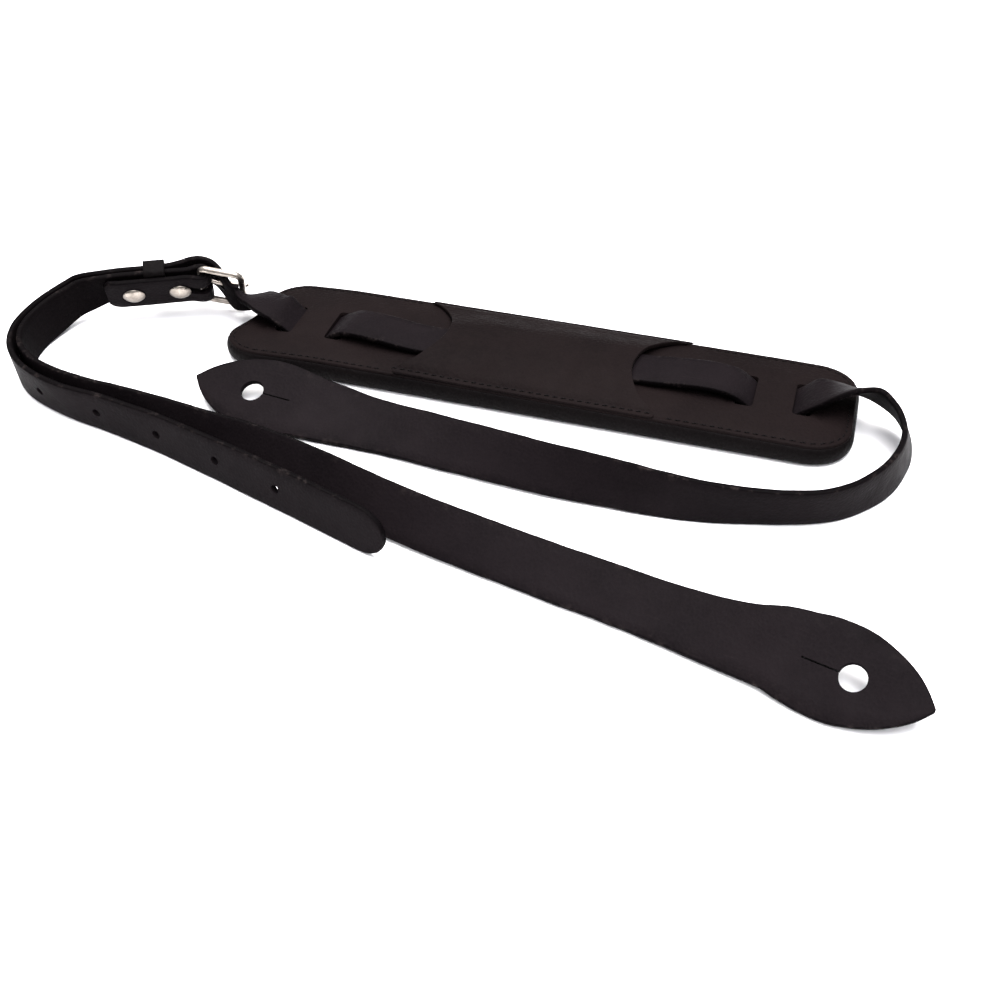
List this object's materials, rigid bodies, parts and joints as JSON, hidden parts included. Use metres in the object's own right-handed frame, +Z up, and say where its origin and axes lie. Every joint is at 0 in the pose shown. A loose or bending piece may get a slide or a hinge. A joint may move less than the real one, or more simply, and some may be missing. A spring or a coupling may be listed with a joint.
{
  "type": "leather instrument strap",
  "caption": "Leather shoulder strap for a hung instrument, with a sliding padded shoulder piece, a prong buckle with keeper, and a leaf tab with button hole at each end.",
  "frame": {"origin": "centre of the pad's underside, on the surface the strap lies on", "axes": "+X along the pad away from the buckle, +Y away from the leaf tabs, +Z up"},
  "size_m": [0.3819, 0.188, 0.0301],
  "materials": {
    "strap_leather": "black strap leather, semi-matt, slightly bluish, pale worn cut edges",
    "pad_leather": "black soft leather with a warm sheen and fine grain",
    "foam": "closed cell foam, matt",
    "thread": "black waxed thread",
    "nickel": "polished nickel plate"
  },
  "bodies": {
    "straps": {"strap_long": "strap_leather", "strap_short": "strap_leather", "rivet_caps": "nickel", "rivet_posts": "nickel"},
    "pad": {"pad_back": "pad_leather", "pad_foam": "foam", "pad_face": "pad_leather", "pad_bridge": "pad_leather", "pad_stitches": "thread", "bridge_stitches": "thread"},
    "keeper": {"keeper_loop": "strap_leather"},
    "frame": {"buckle_frame": "nickel"},
    "prong": {"buckle_prong": "nickel"}
  },
  "joints": [
    {"name": "pad_slide", "type": "slide", "parent": "straps", "child": "pad", "axis": [1, 0, 0], "range_m": [-0.006, 0.01], "deforming": ["strap_long"]},
    {"name": "keeper_slide", "type": "slide", "parent": "straps", "child": "keeper", "axis": [0.8949, 0.4462, 0], "range_m": [-0.002, 0.002]},
    {"name": "frame_hinge", "type": "hinge", "parent": "straps", "child": "frame", "pos_m": [-0.1546, 0.0046, 0.0163], "axis": [0.2095, -0.4201, 0.8829], "range_deg": [-3, 3]},
    {"name": "prong_hinge", "type": "hinge", "parent": "frame", "child": "prong", "pos_m": [-0.1546, 0.0046, 0.0163], "axis": [0.2095, -0.4201, 0.8829], "range_deg": [0, 3]}
  ]
}
